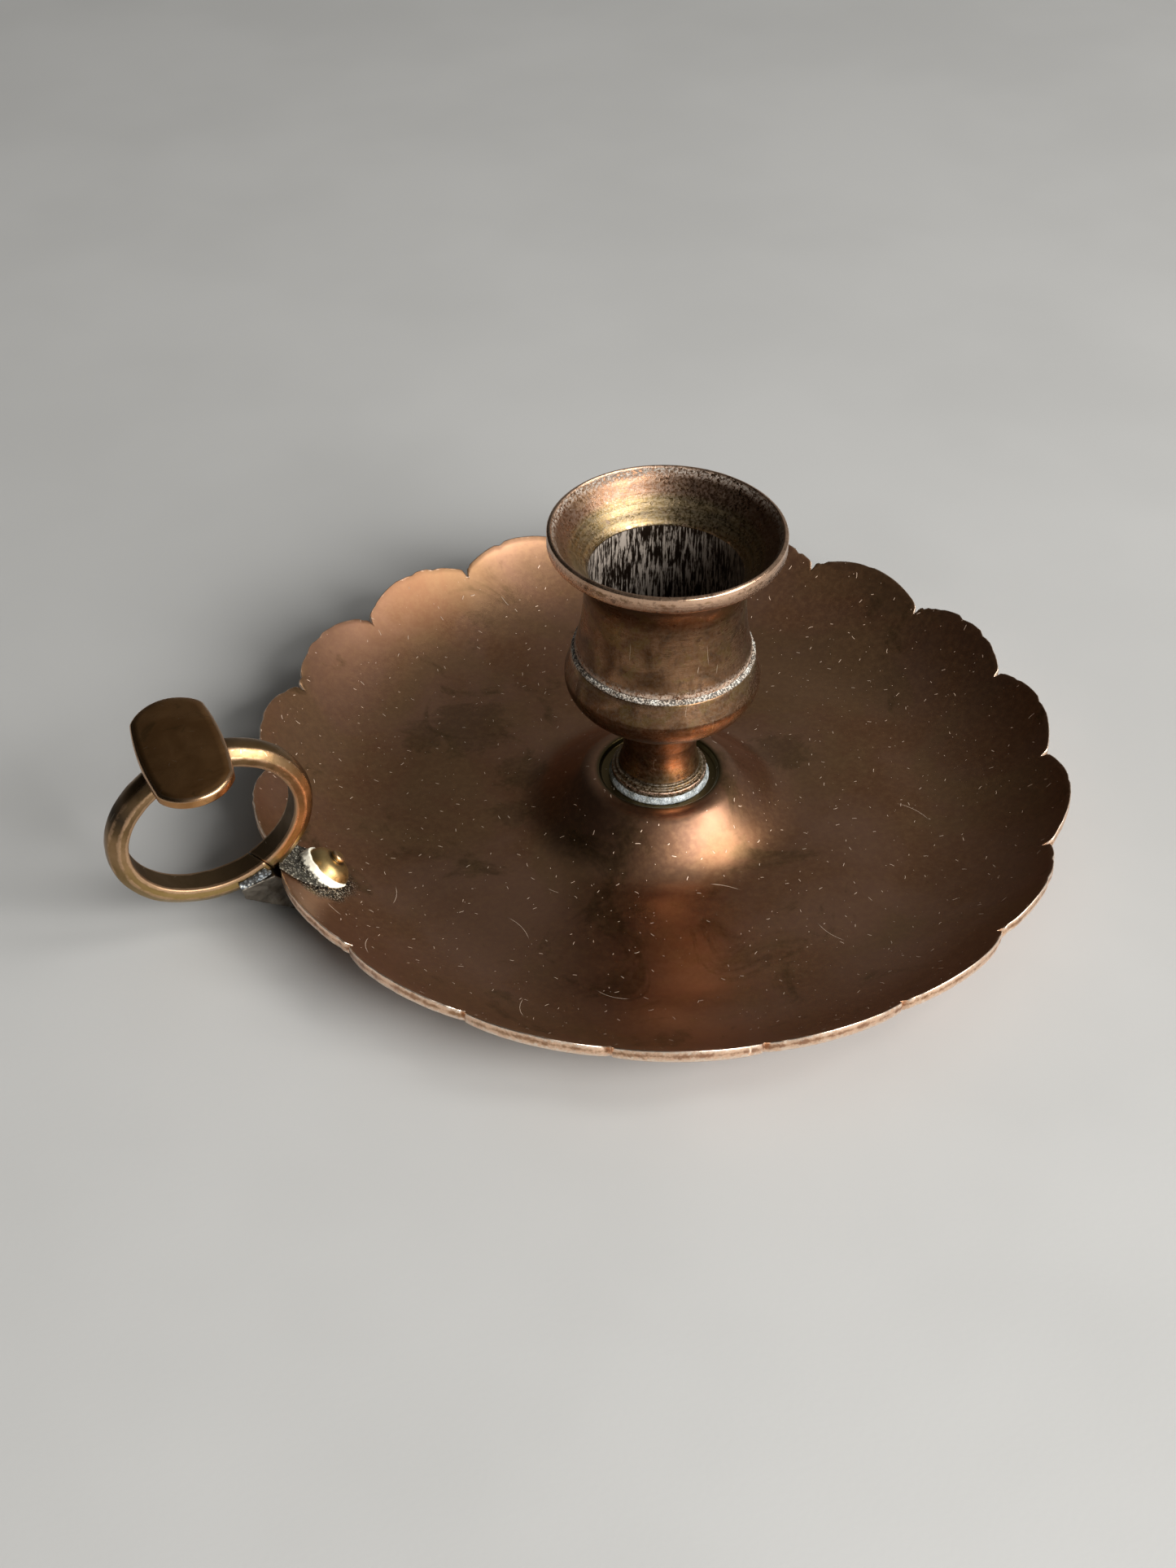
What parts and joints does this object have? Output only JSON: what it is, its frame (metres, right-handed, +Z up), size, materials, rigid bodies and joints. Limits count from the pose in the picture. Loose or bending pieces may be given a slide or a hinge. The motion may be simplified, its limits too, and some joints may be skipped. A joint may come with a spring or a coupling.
{
  "type": "chamber candlestick",
  "caption": "Low brass chamberstick: scalloped drip pan, turned candle socket on a short stem, and a finger ring with a thumb plate.",
  "frame": {"origin": "on the table, on the axis of the pan and the socket", "axes": "+Z up along the candle's axis; -X towards the finger ring; Y across the handle"},
  "size_m": [0.1491, 0.127, 0.0534],
  "materials": {
    "pan_brass": "old spun brass, warm brown patina, fine scratches, polished edges",
    "socket_brass": "turned brass with tool lines, brown patina, olive inside the mouth",
    "handle_brass": "worn brass, bright on the ridges and brown in the hollows",
    "plain_brass": "dull unpolished brass",
    "grey_solder": "blue-grey tin solder, matt and grainy",
    "dark_solder": "dark tarnished tin solder",
    "cream_solder": "cream-white solder and polish residue",
    "white_residue": "rough solder fillet whitened by dried polish"
  },
  "bodies": {
    "root": {"drip_pan": "pan_brass", "stem_bowl": "socket_brass", "candle_socket": "socket_brass", "socket_solder": "white_residue", "stem_solder": "grey_solder", "stem_washer": "plain_brass", "stem_nut": "plain_brass", "finger_ring": "handle_brass", "thumb_plate": "handle_brass", "plate_solder": "dark_solder", "handle_bracket": "handle_brass", "ring_solder": "grey_solder", "handle_rivet": "handle_brass", "rivet_solder": "cream_solder", "rim_solder": "grey_solder"}
  },
  "joints": []
}
